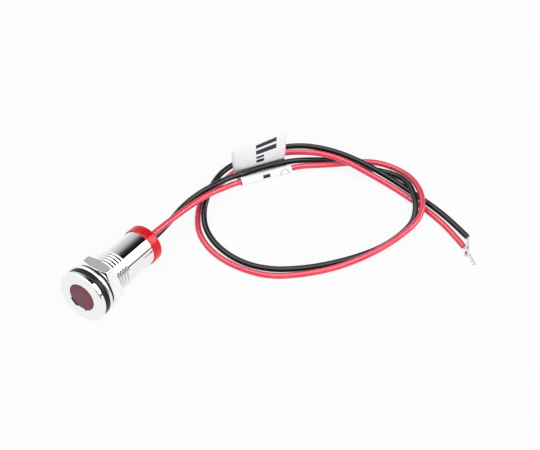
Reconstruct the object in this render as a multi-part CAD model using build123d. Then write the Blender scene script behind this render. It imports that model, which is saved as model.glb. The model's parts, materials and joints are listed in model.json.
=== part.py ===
"""Panel mount indicator light: a metal bezel lamp with a nut, a washer, two seals and two flying leads.

Sizes are in millimetres.  Everything on the lamp's own axis is drawn upright first: the front
face at height 0, and the axis running up to the rear.  lay_down() then lays the lamp on the
floor (Z = 0), front towards -Y and rear towards +Y, where the two leads leave it.
"""
from build123d import *
from math import acos, atan2, cos, degrees, hypot, pi, radians, sin, tan
import os

os.makedirs("parts", exist_ok=True)

# --- Bezel and barrel: one turned brass piece -------------------------------------------
FLANGE_DIA = 10.5
FLANGE_THICK = 0.85
FLANGE_ROUND = 0.25
THREAD_DIA = 7.9            # M8 x 0.75, over the crests
THREAD_LENGTH = 9.2         # behind the flange
THREAD_CHAMFER = 0.15
BARREL_DIA = 7.5
BARREL_LENGTH = 7.2         # behind the thread
BARREL_CHAMFER = 0.15
LENS_BORE_DIA = 5.8         # from the front face to the end of the thread
REAR_BORE_DIA = 6.4         # the rest of the way
BORE_EDGE = 0.1             # broken edge of the bore in the front face
# Key notches in the edge of the lens bore: angle from +X towards the lower side, and width
KEY_NOTCHES = [(131.0, 2.2), (60.0, 0.9)]
NOTCH_RADIAL = 0.35
NOTCH_AXIAL = 0.4

# --- Pieces that clamp the panel ---------------------------------------------------------
SEAL_WIDTH = 1.2            # radial
SEAL_THICK = 1.25
SEAL_ROUND = 0.2
SEAL_CLEARANCE = 0.05       # radial, on the thread
NUT_SEAL_WIDTH = 1.0        # the thinner ring in front of the nut
NUT_SEAL_THICK = 0.65
NUT_SEAL_ROUND = 0.12
WASHER_WIDTH = 1.3
WASHER_THICK = 0.6
WASHER_ROUND = 0.08
WASHER_CLEARANCE = 0.15
NUT_ACROSS_FLATS = 10.0
NUT_THICK = 2.65
NUT_FACE_DIA = 9.5          # flat land inside the corner chamfers
NUT_CHAMFER_ANGLE = 30.0
NUT_CLEARANCE = 0.05
NUT_COUNTERSINK = 0.3

# --- Lens and light-emitting diode -------------------------------------------------------
LENS_CLEARANCE = 0.05       # radial, in the bore
LENS_THICK = 1.4
LENS_EDGE = 0.12
LED_DIA = 3.0
LED_LENGTH = 5.3
LED_RIM_DIA = 3.8
LED_RIM_THICK = 1.0
LED_TIP_GAP = 0.3
LED_CLEARANCE = 0.15        # radial, in the lens skirt
LED_FLAT = 0.2              # cut off the rim on the cathode side
LEG_SIZE = 0.5
LEG_PITCH = 2.54
LEG_BEND_LENGTH = 0.8       # along the axis, for each leg's sideways step
LEG_BEND_RADIUS = 0.45
LEG_BEFORE_BEND = 0.3       # from the bush to the anode leg's bend
LEG_AFTER_BEND = 0.65       # from the cathode leg's bend to the lead
BUSH_LENGTH = 1.6
BUSH_CLEARANCE = 0.05
BUSH_HOLE_DIA = 0.8

# --- Series resistor, solder, sleeves and potting ----------------------------------------
RESISTOR_LENGTH = 3.4
RESISTOR_DIA = 1.6          # over the end bulges
RESISTOR_WAIST_DIA = 1.35
RESISTOR_BULGE = 0.8        # length of each end bulge
RESISTOR_WIRE_DIA = 0.45
RESISTOR_FRONT_WIRE = 0.6
RESISTOR_REAR_WIRE = 0.95
SOLDER_DIA = 0.9
SOLDER_LENGTH = 0.7
SLEEVE_WALL = 0.15
SLEEVE_CLEARANCE = 0.05
SLEEVE_LAP = 0.1            # past the piece that it covers
POTTING_LENGTH = 4.0

# --- Rear cap ------------------------------------------------------------------------------
CAP_DIA = 7.9
CAP_LENGTH = 2.25
CAP_ROUND = 0.4
SPIGOT_LENGTH = 1.0
SPIGOT_CLEARANCE = 0.05

# --- Leads ---------------------------------------------------------------------------------
LEAD_DIA = 1.2              # 28 AWG hook-up wire over the insulation
LEAD_PITCH = 1.4            # between the two centres in the cap
LEAD_HOLE_CLEARANCE = 0.05
LEAD_STRAIGHT = 2.2         # straight on past the cap
STRANDS_DIA = 0.44
ARC_SHARE = 0.45            # of the shorter run, taken by the arc at each corner

# Corners of each lead's route behind the cap, chosen by hand.
RED_ROUTE = [
    (0.3, 17.8, 3.9), (0.8, 23.4, 3.5), (1.8, 28.6, 3.2), (2.5, 32.2, 2.1),
    (2.8, 35.45, 0.95), (4.63, 38.08, 0.95), (6.88, 41.39, 0.95), (9.09, 44.73, 0.95),
    (10.71, 47.25, 0.95), (14.2, 50.4, 0.65), (17.6, 52.2, 1.4), (20.9, 54.4, 2.2),
    (24.0, 56.9, 1.7), (27.5, 58.3, 0.8), (31.7, 57.1, 1.7), (35.7, 54.4, 2.3),
    (38.5, 50.9, 2.4), (39.7, 47.0, 2.0), (39.1, 42.4, 1.7), (37.8, 37.3, 1.6),
    (35.7, 32.2, 1.4), (32.6, 27.4, 0.9), (28.6, 23.0, 0.6), (23.4, 18.5, 0.6),
    (17.0, 16.8, 0.6), (10.6, 17.1, 0.6), (5.1, 19.7, 0.6), (1.5, 24.1, 0.6),
    (-0.2, 27.9, 0.6), (-0.4, 31.6, 0.6), (0.3, 35.2, 0.6), (0.7, 39.9, 0.6),
    (2.2, 45.0, 0.6), (5.6, 48.7, 0.9), (9.8, 50.0, 2.4), (14.0, 51.1, 3.3),
    (18.9, 52.0, 3.3), (23.7, 52.5, 2.3), (28.9, 53.3, 0.8), (34.4, 52.6, 0.6),
    (39.8, 51.4, 0.6), (45.1, 49.7, 0.6), (50.1, 47.1, 0.6),
]
BLACK_ROUTE = [
    (-0.5, 17.6, 2.5), (-1.0, 22.6, 2.6), (-0.3, 27.0, 3.0), (1.0, 30.4, 3.4),
    (1.7, 34.4, 2.6), (2.4, 38.6, 0.95), (4.3, 42.2, 0.9), (6.5, 45.2, 0.9),
    (9.0, 48.2, 0.9), (12.3, 51.1, 0.6), (15.9, 53.4, 0.6), (20.0, 54.7, 0.6),
    (24.3, 55.7, 0.6), (28.5, 56.4, 1.15), (32.6, 54.9, 2.15), (35.4, 52.5, 2.2),
    (37.4, 49.9, 1.95), (38.6, 47.0, 0.9), (38.3, 42.8, 0.6), (37.0, 37.6, 0.6),
    (34.6, 33.0, 0.6), (31.3, 28.3, 0.6), (27.4, 24.0, 0.6), (22.3, 20.0, 0.6),
    (16.4, 18.3, 0.6), (10.1, 19.1, 0.6), (5.3, 21.6, 0.8), (2.5, 24.9, 1.4),
    (1.0, 28.1, 1.9), (-0.1, 31.5, 2.15), (-1.2, 36.0, 1.4), (-0.9, 40.8, 0.6),
    (1.1, 46.0, 0.6), (4.1, 49.7, 0.9), (8.5, 51.5, 2.4), (12.9, 52.4, 3.3),
    (17.6, 53.3, 3.4), (22.8, 53.6, 3.2), (27.8, 54.7, 1.4), (33.2, 54.4, 0.6),
    (38.8, 53.4, 0.6), (44.2, 51.9, 0.6), (49.4, 49.8, 0.6),
]
# Bare strands, from the end of each lead to their tips.
RED_STRANDS = [(51.2, 46.5, 0.8), (52.6, 45.6, 0.5), (54.2, 44.3, 0.25)]
BLACK_STRANDS = [(50.4, 48.6, 0.42), (51.1, 47.1, 0.25), (51.6, 45.5, 0.25)]

# --- Flag label round the red lead ----------------------------------------------------------
FLAG_LENGTH = 10.6          # along the lead
FLAG_HEIGHT = 7.9           # above the floor
FLAG_FILM = 0.1             # one layer; the flag itself is two
FLAG_LEAD_CLEARANCE = 0.2   # radial, in the wrap
FLAG_REACH = 3.25           # from the lead to the middle of the upright part
FLAG_BEND = 0.4
FLAG_START = (4.0, 37.23)   # where the wrap begins on the red lead
FLAG_END = (9.87, 46.0)     # a point further along, which sets its direction

# --- Places along the axis, worked out from the sizes above ----------------------------------
thread_end = FLANGE_THICK + THREAD_LENGTH
barrel_end = thread_end + BARREL_LENGTH
cap_end = barrel_end + CAP_LENGTH
lead_start = barrel_end - SPIGOT_LENGTH
seal_back = FLANGE_THICK + SEAL_THICK
washer_back = seal_back + WASHER_THICK
nut_seal_back = washer_back + NUT_SEAL_THICK
nut_back = nut_seal_back + NUT_THICK
seal_bore = THREAD_DIA + 2 * SEAL_CLEARANCE
seal_dia = seal_bore + 2 * SEAL_WIDTH
nut_seal_dia = seal_bore + 2 * NUT_SEAL_WIDTH
washer_bore = THREAD_DIA + 2 * WASHER_CLEARANCE
washer_dia = washer_bore + 2 * WASHER_WIDTH
led_front = LENS_THICK + LED_TIP_GAP
led_back = led_front + LED_LENGTH
skirt_end = led_back - LED_RIM_THICK
bush_back = led_back + BUSH_LENGTH
resistor_back = lead_start - RESISTOR_REAR_WIRE
resistor_front = resistor_back - RESISTOR_LENGTH
anode_end = resistor_front - RESISTOR_FRONT_WIRE
anode_bend = bush_back + LEG_BEFORE_BEND
cathode_bend = lead_start - LEG_AFTER_BEND - LEG_BEND_LENGTH
anode_sleeve_bore = RESISTOR_DIA + 2 * SLEEVE_CLEARANCE
cathode_sleeve_bore = LEG_SIZE * 2**0.5 + 2 * SLEEVE_CLEARANCE
upper_y = -LEAD_PITCH / 2   # local Y points to the floor once the lamp lies down
lower_y = LEAD_PITCH / 2


def lean_on(height, radius):
    """Tilt of the axis when a ring of this radius and the cap's rear edge both touch the floor."""
    run = cap_end - CAP_ROUND - height
    drop = radius - (CAP_DIA / 2 - CAP_ROUND)
    return acos(CAP_ROUND / hypot(run, drop)) - atan2(run, drop)


# The lamp lies on whichever ring needs the steepest lean.
tilt = max(
    lean_on(FLANGE_THICK, FLANGE_DIA / 2),
    lean_on(seal_back, seal_dia / 2),
    lean_on(washer_back, washer_dia / 2),
    lean_on(nut_seal_back, nut_seal_dia / 2),
    lean_on(nut_back, NUT_ACROSS_FLATS / 2),
)
front_height = (
    (cap_end - CAP_ROUND) * sin(tilt) + (CAP_DIA / 2 - CAP_ROUND) * cos(tilt) + CAP_ROUND
)
front_y = -(cap_end * cos(tilt) + (CAP_DIA - FLANGE_DIA) / 2 * sin(tilt)) / 2
LYING = Location((0, front_y, front_height), (-90 - degrees(tilt), 0, 0))


def ring(outer_dia, inner_dia, start, length):
    """Plain ring or tube on the axis."""
    section = Circle(outer_dia / 2) - Circle(inner_dia / 2)
    return Pos(0, 0, start) * extrude(section, length)


def rod(diameter, start, end, y=0.0):
    """Round rod along the axis, or beside it at y."""
    return Pos(0, y, start) * extrude(Circle(diameter / 2), end - start)


def turned(profile):
    """Solid of revolution from a closed outline of (radius, height) points."""
    outline = Polyline(*[(radius, 0, height) for radius, height in profile], close=True)
    return revolve(make_face(outline), Axis.Z)


def edges_at(solid, radius, height):
    """The circular edges of this radius at this height."""
    return [
        edge
        for edge in solid.edges().filter_by(GeomType.CIRCLE)
        if abs(edge.radius - radius) < 1e-4 and abs(edge.arc_center.Z - height) < 1e-4
    ]


def bezel_body():
    """Flange, thread and barrel with the stepped bore and the key notches in its front edge."""
    flange, thread, barrel = FLANGE_DIA / 2, THREAD_DIA / 2, BARREL_DIA / 2
    lens_bore, rear_bore = LENS_BORE_DIA / 2, REAR_BORE_DIA / 2
    body = turned([
        (lens_bore, 0),
        (flange, 0),
        (flange, FLANGE_THICK),
        (thread, FLANGE_THICK),
        (thread, thread_end),
        (barrel, thread_end),
        (barrel, barrel_end),
        (rear_bore, barrel_end),
        (rear_bore, thread_end),
        (lens_bore, thread_end),
    ])
    body = fillet(edges_at(body, flange, 0), FLANGE_ROUND)
    body = chamfer(edges_at(body, thread, thread_end), THREAD_CHAMFER)
    body = chamfer(edges_at(body, barrel, barrel_end), BARREL_CHAMFER)
    body = chamfer(edges_at(body, lens_bore, 0), BORE_EDGE)
    for angle, width in KEY_NOTCHES:
        reach = lens_bore + NOTCH_RADIAL
        cutter = Box(reach, width, NOTCH_AXIAL, align=(Align.MIN, Align.CENTER, Align.MIN))
        body -= Rot(0, 0, angle) * cutter
    return body


def lens():
    """Flush disc with a long skirt that takes the diode's dome."""
    outer = LENS_BORE_DIA / 2 - LENS_CLEARANCE
    inner = LED_DIA / 2 + LED_CLEARANCE
    body = turned([
        (0, 0),
        (outer, 0),
        (outer, skirt_end),
        (inner, skirt_end),
        (inner, LENS_THICK),
        (0, LENS_THICK),
    ])
    return fillet(edges_at(body, outer, 0), LENS_EDGE)


def led_body():
    """Domed diode with a rim, and a flat on the rim that marks the cathode."""
    radius = LED_DIA / 2
    dome_end = led_front + radius
    side = Polyline(
        (radius, 0, dome_end),
        (radius, 0, skirt_end),
        (LED_RIM_DIA / 2, 0, skirt_end),
        (LED_RIM_DIA / 2, 0, led_back),
        (0, 0, led_back),
        (0, 0, led_front),
    )
    diagonal = radius * cos(pi / 4)
    dome = ThreePointArc(
        (0, 0, led_front), (diagonal, 0, dome_end - diagonal), (radius, 0, dome_end)
    )
    body = revolve(make_face(side + dome), Axis.Z)
    cutter = Box(LED_RIM_DIA, LED_RIM_DIA, LED_RIM_THICK, align=(Align.CENTER, Align.MIN, Align.MIN))
    return body - Pos(0, LED_RIM_DIA / 2 - LED_FLAT, skirt_end) * cutter


def bent_leg(points):
    """Square leg along a path of (y, height) points with rounded bends."""
    path = FilletPolyline(*[(0, y, height) for y, height in points], radius=LEG_BEND_RADIUS)
    return sweep(Plane(path @ 0, z_dir=path % 0) * Rectangle(LEG_SIZE, LEG_SIZE), path=path)


def anode_leg():
    """Leg that steps in to the resistor's line behind the bush."""
    return bent_leg([
        (-LEG_PITCH / 2, led_back),
        (-LEG_PITCH / 2, anode_bend),
        (upper_y, anode_bend + LEG_BEND_LENGTH),
        (upper_y, anode_end),
    ])


def cathode_leg():
    """Leg that runs straight back and steps in to the black lead's line."""
    return bent_leg([
        (LEG_PITCH / 2, led_back),
        (LEG_PITCH / 2, cathode_bend),
        (lower_y, cathode_bend + LEG_BEND_LENGTH),
        (lower_y, lead_start),
    ])


def led_bush():
    """Spacer that holds the diode forward, with a hole for each leg."""
    body = rod(LENS_BORE_DIA - 2 * BUSH_CLEARANCE, led_back, bush_back)
    for side in (-1, 1):
        body -= rod(BUSH_HOLE_DIA, led_back, bush_back, side * LEG_PITCH / 2)
    return body


def resistor_body():
    """Lacquered body with a bulge over each end cap."""
    bulge, waist = RESISTOR_DIA / 2, RESISTOR_WAIST_DIA / 2
    slope = bulge - waist
    body = turned([
        (0, resistor_front),
        (bulge, resistor_front),
        (bulge, resistor_front + RESISTOR_BULGE),
        (waist, resistor_front + RESISTOR_BULGE + slope),
        (waist, resistor_back - RESISTOR_BULGE - slope),
        (bulge, resistor_back - RESISTOR_BULGE),
        (bulge, resistor_back),
        (0, resistor_back),
    ])
    rims = edges_at(body, bulge, resistor_front) + edges_at(body, bulge, resistor_back)
    return Pos(0, upper_y, 0) * fillet(rims, slope)


def solder(y, middle_or_end, at_end, *wires):
    """Bead round the end of a wire, either centred on a joint or stopped by a lead's face."""
    start = middle_or_end - SOLDER_LENGTH * (1 if at_end else 0.5)
    bead = rod(SOLDER_DIA, start, start + SOLDER_LENGTH, y)
    for wire in wires:
        bead -= wire
    return bead


def sleeve(bore_dia, y, start, end):
    """Length of shrink sleeve beside the axis."""
    return Pos(0, y, 0) * ring(bore_dia + 2 * SLEEVE_WALL, bore_dia, start, end - start)


def potting(*inside):
    """Resin that fills the rear of the barrel round whatever passes through it."""
    body = rod(REAR_BORE_DIA, lead_start - POTTING_LENGTH, lead_start)
    for piece in inside:
        body -= piece
    return body


def end_cap():
    """Rounded cap with a spigot in the barrel and a hole for each lead."""
    body = rod(CAP_DIA, barrel_end, cap_end)
    body = fillet(edges_at(body, CAP_DIA / 2, cap_end), CAP_ROUND)
    body += rod(REAR_BORE_DIA - 2 * SPIGOT_CLEARANCE, lead_start, barrel_end)
    for y in (upper_y, lower_y):
        body -= rod(LEAD_DIA + 2 * LEAD_HOLE_CLEARANCE, lead_start, cap_end, y)
    return body


def clamp_ring(outer_dia, inner_dia, start, end, rounding):
    """Ring on the thread with a rounded rim."""
    body = ring(outer_dia, inner_dia, start, end - start)
    rims = edges_at(body, outer_dia / 2, start) + edges_at(body, outer_dia / 2, end)
    return fillet(rims, rounding)


def hex_nut():
    """Thin hexagon nut, its corners turned off to a cone on both faces."""
    blank = extrude(RegularPolygon(NUT_ACROSS_FLATS / 2, 6, major_radius=False), NUT_THICK)
    land = NUT_FACE_DIA / 2
    reach = NUT_ACROSS_FLATS
    depth = (reach - land) * tan(radians(NUT_CHAMFER_ANGLE))
    # Two cones base to base, cut off at the faces, leave the land and the turned corners.
    cone = turned([
        (0, 0),
        (land, 0),
        (reach, depth),
        (0, depth),
    ])
    rear_cone = Pos(0, 0, NUT_THICK) * Rot(180, 0, 0) * cone
    body = blank & cone & rear_cone
    bore = THREAD_DIA / 2 + NUT_CLEARANCE
    sink = bore + NUT_COUNTERSINK
    body -= turned([
        (0, 0),
        (sink, 0),
        (bore, NUT_COUNTERSINK),
        (bore, NUT_THICK - NUT_COUNTERSINK),
        (sink, NUT_THICK),
        (0, NUT_THICK),
    ])
    return Pos(0, 0, nut_seal_back) * body


def corner_radii(points):
    """Largest arc that each corner's two runs leave room for."""
    radii = []
    for before, corner, after in zip(points, points[1:], points[2:]):
        run_in, run_out = corner - before, after - corner
        half_turn = radians(run_in.get_angle(run_out)) / 2
        radii.append(ARC_SHARE * min(run_in.length, run_out.length) / tan(half_turn))
    return radii


def tube(name, diameter, corners):
    """Round tube along straight runs joined by tangent arcs."""
    points = [Vector(*corner) for corner in corners]
    radii = corner_radii(points)
    path = FilletPolyline(*points, radius=radii)
    body = sweep(Plane(path @ 0, z_dir=path % 0) * Circle(diameter / 2), path=path)
    expected = pi * diameter**2 / 4 * path.length
    print(f"{name}: length {path.length:.1f}, volume {body.volume:.2f} of {expected:.2f}, radii",
          [round(radius, 1) for radius in radii])
    return body


def on_axis(y, height):
    """Point beside the axis, in the frame of the lamp lying down."""
    return tuple((LYING * Pos(0, y, height)).position)


def lead_corners(y, route):
    """A lead's corners: straight out of the cap, then along its route."""
    return [on_axis(y, lead_start), on_axis(y, cap_end + LEAD_STRAIGHT), *route]


def flag_label():
    """Film folded round the red lead, its two ends stuck together into an upright flag."""
    start, end = Vector(*FLAG_START), Vector(*FLAG_END)
    along = (end - start).normalized()
    across = Vector(0, 0, 1).cross(along)
    section = Plane(origin=start, x_dir=across, z_dir=across.cross(Vector(0, 0, 1)))
    wrap_inner = LEAD_DIA / 2 + FLAG_LEAD_CLEARANCE
    wrap_outer = wrap_inner + FLAG_FILM
    wrap_height = RED_ROUTE[4][2]
    foot = wrap_height - wrap_outer + FLAG_FILM
    film = FilletPolyline((0, foot), (FLAG_REACH, foot), (FLAG_REACH, FLAG_HEIGHT), radius=FLAG_BEND)
    profile = trace(film, 2 * FLAG_FILM) + Pos(0, wrap_height) * Circle(wrap_outer)
    profile -= Pos(0, wrap_height) * Circle(wrap_inner)
    flag = extrude(section * profile, FLAG_LENGTH)
    return flag


def lay_down(pieces):
    """Lay the upright pieces on the floor."""
    return {name: LYING * piece for name, piece in pieces.items()}


anode = anode_leg()
cathode = cathode_leg()
front_wire = rod(RESISTOR_WIRE_DIA, anode_end, resistor_front, upper_y)
rear_wire = rod(RESISTOR_WIRE_DIA, resistor_back, lead_start, upper_y)
solder_red = solder(upper_y, lead_start, True, rear_wire)
solder_black = solder(lower_y, lead_start, True, cathode)
anode_sleeve_span = (anode_end - SOLDER_LENGTH / 2 - SLEEVE_LAP, resistor_back + SLEEVE_LAP)
cathode_sleeve_span = (bush_back + SLEEVE_LAP, cathode_bend - SLEEVE_LAP)

upright = {
    "bezel_body": bezel_body(),
    "lens": lens(),
    "led_body": led_body(),
    "anode_leg": anode,
    "cathode_leg": cathode,
    "led_bush": led_bush(),
    "resistor_body": resistor_body(),
    "resistor_lead_front": front_wire,
    "resistor_lead_rear": rear_wire,
    "solder_anode": solder(upper_y, anode_end, False, anode, front_wire),
    "solder_red": solder_red,
    "solder_black": solder_black,
    "anode_sleeve": sleeve(anode_sleeve_bore, upper_y, *anode_sleeve_span),
    "cathode_sleeve": sleeve(cathode_sleeve_bore, LEG_PITCH / 2, *cathode_sleeve_span),
    "potting": potting(
        rod(anode_sleeve_bore + 2 * SLEEVE_WALL, *anode_sleeve_span, upper_y),
        rod(cathode_sleeve_bore + 2 * SLEEVE_WALL, *cathode_sleeve_span, LEG_PITCH / 2),
        cathode,
        rear_wire,
        rod(SOLDER_DIA, lead_start - SOLDER_LENGTH, lead_start, upper_y),
        rod(SOLDER_DIA, lead_start - SOLDER_LENGTH, lead_start, lower_y),
    ),
    "end_cap": end_cap(),
    "panel_seal": clamp_ring(seal_dia, seal_bore, FLANGE_THICK, seal_back, SEAL_ROUND),
    "lock_washer": clamp_ring(washer_dia, washer_bore, seal_back, washer_back, WASHER_ROUND),
    "nut_seal": clamp_ring(nut_seal_dia, seal_bore, washer_back, nut_seal_back, NUT_SEAL_ROUND),
    "hex_nut": hex_nut(),
}
nodes = lay_down(upright)
red_corners = lead_corners(upper_y, RED_ROUTE)
black_corners = lead_corners(lower_y, BLACK_ROUTE)
nodes["red_lead"] = tube("red lead", LEAD_DIA, red_corners)
nodes["black_lead"] = tube("black lead", LEAD_DIA, black_corners)
nodes["red_strands"] = tube("red strands", STRANDS_DIA, [RED_ROUTE[-1], *RED_STRANDS])
nodes["black_strands"] = tube("black strands", STRANDS_DIA, [BLACK_ROUTE[-1], *BLACK_STRANDS])
nodes["flag_label"] = flag_label()

print(f"tilt {degrees(tilt):.3f}, front face at y {front_y:.3f}, z {front_height:.3f}")
print("red lead enters", red_corners[:2], "black lead enters", black_corners[:2])
for name, solid in nodes.items():
    export_step(solid, f"parts/{name}.step")
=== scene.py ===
"""Looks of a panel indicator lamp with two flying leads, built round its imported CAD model.

The lamp lies on its washer and its rear cap. A place on it is given as a distance along its axis from
the middle of the front face, a radius, and a turn about the axis from +X towards the top. Sizes and
places are written in millimetres and become metres where a mesh or a curve is made.
"""

import json
import logging
import math
from collections.abc import Mapping, Sequence
from dataclasses import dataclass, field
from enum import Enum
from functools import reduce
from typing import Any

import bmesh
import bpy
import numpy as np
from mathutils import Matrix, Vector


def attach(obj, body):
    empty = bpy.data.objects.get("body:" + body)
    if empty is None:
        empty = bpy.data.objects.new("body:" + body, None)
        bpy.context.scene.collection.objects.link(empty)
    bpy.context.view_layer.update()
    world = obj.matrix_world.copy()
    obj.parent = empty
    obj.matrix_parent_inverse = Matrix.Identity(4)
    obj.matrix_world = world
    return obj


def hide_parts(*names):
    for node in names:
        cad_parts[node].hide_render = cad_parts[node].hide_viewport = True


MM = 0.001
BODY = "root"
Colour = tuple[float, float, float]
Point = tuple[float, float, float]
Numbers = float | Sequence[float] | np.ndarray
CRISP_ANGLE = 28.0
log = logging.getLogger("indicator")

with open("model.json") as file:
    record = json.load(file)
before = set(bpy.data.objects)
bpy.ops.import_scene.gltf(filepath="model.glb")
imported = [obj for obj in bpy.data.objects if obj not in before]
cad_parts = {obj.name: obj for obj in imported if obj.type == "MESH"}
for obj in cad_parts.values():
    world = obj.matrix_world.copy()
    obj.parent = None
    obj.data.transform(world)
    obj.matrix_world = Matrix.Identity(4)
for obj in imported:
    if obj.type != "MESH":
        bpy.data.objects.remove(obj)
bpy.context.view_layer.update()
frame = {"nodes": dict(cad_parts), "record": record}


# --- Shader graphs ---


class Wire:
    """An output socket. Arithmetic on it adds Math nodes to its graph."""

    def __init__(self, graph: "Graph", socket: bpy.types.NodeSocket) -> None:
        """Keeps the socket and the graph that it belongs to."""
        self.graph = graph
        self.socket = socket

    def math(self, operation: str, *values: "Wire | float") -> "Wire":
        """One Math node.

        Args:
            operation: The Math node's operation.
            values: Its inputs in order.

        Returns:
            The node's result.
        """
        return self.graph.add("ShaderNodeMath", {"operation": operation}, dict(enumerate(values)))

    def __add__(self, other: "Wire | float") -> "Wire":
        """self + other."""
        return self.math("ADD", self, other)

    def __radd__(self, other: float) -> "Wire":
        """other + self."""
        return self.math("ADD", other, self)

    def __sub__(self, other: "Wire | float") -> "Wire":
        """self - other."""
        return self.math("SUBTRACT", self, other)

    def __rsub__(self, other: float) -> "Wire":
        """other - self."""
        return self.math("SUBTRACT", other, self)

    def __mul__(self, other: "Wire | float") -> "Wire":
        """self * other."""
        return self.math("MULTIPLY", self, other)

    def __rmul__(self, other: float) -> "Wire":
        """other * self."""
        return self.math("MULTIPLY", other, self)

    def __truediv__(self, other: "Wire | float") -> "Wire":
        """self / other."""
        return self.math("DIVIDE", self, other)

    def root(self) -> "Wire":
        """Square root of self."""
        return self.math("SQRT", self)

    def either(self, other: "Wire | float") -> "Wire":
        """The larger of self and other."""
        return self.math("MAXIMUM", self, other)

    def spread(self, low: float, high: float) -> "Wire":
        """Value that runs from low to high as self runs from 0 to 1."""
        return low + (high - low) * self

    def rise(self, start: float, end: float) -> "Wire":
        """Smooth step.

        Args:
            start: The value at which the step is still 0.
            end: The value at which it has reached 1; it may be the lower of the two.

        Returns:
            A value from 0 to 1.
        """
        flip = end < start
        step = self.graph.add(
            "ShaderNodeMapRange",
            {"interpolation_type": "SMOOTHSTEP"},
            {"Value": self, "From Min": min(start, end), "From Max": max(start, end)},
        )
        return 1 - step if flip else step

    def within(self, low: float, high: float, edge: float) -> "Wire":
        """Mask of a band with soft edges, 1 between low and high."""
        return self.rise(low - edge, low) * self.rise(high + edge, high)


class Graph:
    """A node tree that is filled by calls instead of by hand."""

    def __init__(self, tree: bpy.types.NodeTree) -> None:
        """Empties the tree."""
        self.tree = tree
        tree.nodes.clear()

    def add(
        self,
        kind: str,
        settings: Mapping[str, Any] | None = None,
        inputs: Mapping[str | int, Any] | None = None,
        output: str | int = 0,
    ) -> Wire:
        """Adds one node.

        Args:
            kind: The node's type.
            settings: Its settings, which are set first; "stops" are a ramp's (place, colour) pairs.
            inputs: Values or wires of its sockets, by name or number.
            output: The socket that the result stands for.

        Returns:
            The chosen output as a wire.
        """
        node = self.tree.nodes.new(kind)
        for name, value in (settings or {}).items():
            if name == "stops":
                self._set_stops(node.color_ramp, value)
            else:
                setattr(node, name, value)
        for name, value in (inputs or {}).items():
            if isinstance(value, Wire):
                self.tree.links.new(value.socket, node.inputs[name])
            else:
                node.inputs[name].default_value = value
        return Wire(self, node.outputs[output]) if node.outputs else Wire(self, None)

    @staticmethod
    def _set_stops(ramp: bpy.types.ColorRamp, stops: Sequence[tuple[float, Colour]]) -> None:
        """Puts (place, colour) stops on a ramp that starts with two."""
        while len(ramp.elements) < len(stops):
            ramp.elements.new(1.0)
        for element, (place, colour) in zip(ramp.elements, stops):
            element.position = place
            element.color = (*colour, 1.0)

    def place(self) -> Wire:
        """Object coordinates."""
        return self.add("ShaderNodeTexCoord", output="Object")

    def dot(self, vector: Wire, direction: Sequence[float]) -> Wire:
        """Length of a vector along a direction."""
        return self.add(
            "ShaderNodeVectorMath",
            {"operation": "DOT_PRODUCT"},
            {0: vector, 1: tuple(direction)},
            "Value",
        )

    def noise(self, scale: float) -> Wire:
        """Noise over the piece of one value, about 0 to 1, at a scale in cells per metre."""
        return self.add("ShaderNodeTexNoise", {}, {"Vector": self.place(), "Scale": scale, "Detail": 2.0})

    def mix(self, factor: Wire | float, first: Wire | Colour, second: Wire | Colour) -> Wire:
        """Colour between first, at factor 0, and second, at factor 1."""
        colours = [c if isinstance(c, Wire) else (*c, 1.0) for c in (first, second)]
        return self.add(
            "ShaderNodeMix",
            {"data_type": "RGBA"},
            {0: factor, 6: colours[0], 7: colours[1]},
            2,
        )

    def bump(self, height: Wire, depth: float) -> Wire:
        """Normal of a surface whose height runs from 0 to 1 over a depth in metres."""
        return self.add("ShaderNodeBump", {}, {"Height": height, "Strength": 1.0, "Distance": depth})

    def grain(self, scale: float, depth: float) -> Wire:
        """Normal of a noise's surface, by its scale and its depth in metres."""
        return self.bump(self.noise(scale), depth)

    def ray(self, kind: str) -> Wire:
        """1 for rays of this kind, otherwise 0."""
        return self.add("ShaderNodeLightPath", output=f"Is {kind} Ray")

    def principled(self, inputs: Mapping[str, Any]) -> None:
        """Joins one Principled BSDF with these inputs to the tree's output."""
        self.surface(self.add("ShaderNodeBsdfPrincipled", {}, inputs))

    def surface(self, shader: Wire) -> None:
        """Joins a shader to the tree's output."""
        kind = "World" if isinstance(self.tree.id_data, bpy.types.World) else "Material"
        self.add(f"ShaderNodeOutput{kind}", {}, {"Surface": shader})


def new_material(name: str) -> tuple[bpy.types.Material, Graph]:
    """An empty node material.

    Args:
        name: Its name.

    Returns:
        The material and its graph.
    """
    material = bpy.data.materials.new(name)
    material.use_nodes = True
    return material, Graph(material.node_tree)


# --- The lamp's axis ---


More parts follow.
